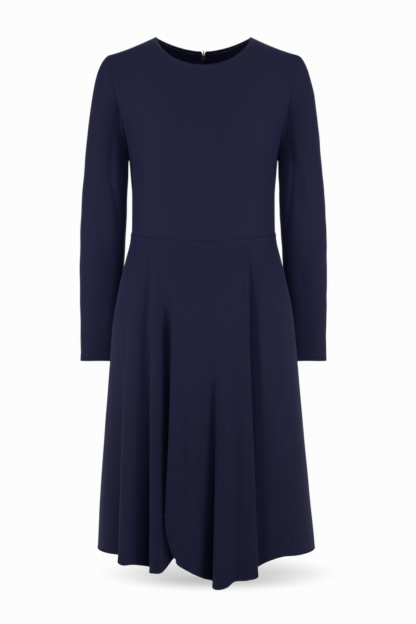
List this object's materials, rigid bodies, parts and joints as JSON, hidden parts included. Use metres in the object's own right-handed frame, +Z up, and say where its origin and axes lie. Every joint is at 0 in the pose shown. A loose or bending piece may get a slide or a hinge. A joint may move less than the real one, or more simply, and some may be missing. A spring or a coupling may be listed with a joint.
{
  "type": "long-sleeved fit-and-flare dress",
  "caption": "Long-sleeved jersey dress with a round neck, close bodice, waist seam, softly folded flared skirt with a lapped front slit, and a back zip; hollow, as worn.",
  "frame": {"origin": "on the centre plane, level with the middle of the shoulder seams, where the wearer's shoulders carry the dress", "axes": "+Z up, -Y the front of the dress, +X the viewer's right in a front view"},
  "size_m": [0.4996, 0.3602, 1.0853],
  "materials": {
    "jersey": "smooth navy jersey with a soft matte sheen",
    "zip_tape": "navy woven tape",
    "zip_metal": "dark grey enamel, satin"
  },
  "bodies": {
    "dress": {"bodice_front": "jersey", "bodice_back_left": "jersey", "bodice_back_right": "jersey", "sleeve_left": "jersey", "sleeve_right": "jersey", "skirt_front_over": "jersey", "skirt_front_under": "jersey", "skirt_back_left": "jersey", "skirt_back_right": "jersey", "zip_tape_left": "zip_tape", "zip_tape_right": "zip_tape", "zip_slider": "zip_metal"},
    "pull": {"zip_pull": "zip_metal"}
  },
  "joints": [
    {"name": "pull_flip", "type": "hinge", "parent": "dress", "child": "pull", "pos_m": [0, 0.08845, -0.00777], "axis": [1, 0, 0], "range_deg": [0, 160]}
  ]
}
